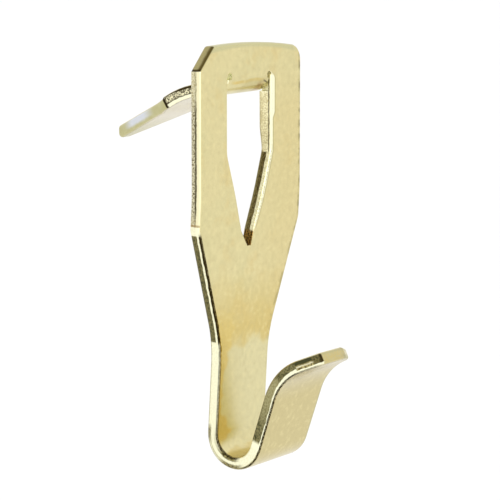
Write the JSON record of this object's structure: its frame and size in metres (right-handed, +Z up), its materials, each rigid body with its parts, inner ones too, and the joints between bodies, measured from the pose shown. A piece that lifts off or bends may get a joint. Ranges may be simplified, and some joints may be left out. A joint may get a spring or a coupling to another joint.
{
  "type": "drywall picture hook",
  "caption": "Brass-finished sheet hook for hanging pictures on drywall, with a claw bent back from its window and a J hook with a flared lip",
  "frame": {"origin": "centre of the width, on the plane of the plate's back face, halfway between the crown of the top edge and the claw's bend line; the hook hangs as it does on a wall", "axes": "+X across the plate's width, +Y from the plate's back into the wall along the claw, +Z up"},
  "size_m": [0.013, 0.0196, 0.0316],
  "materials": {
    "brass": "bright plated sheet, softly mottled, with grainy sheared edges"
  },
  "bodies": {
    "root": {"picture_hook": "brass"}
  },
  "joints": []
}
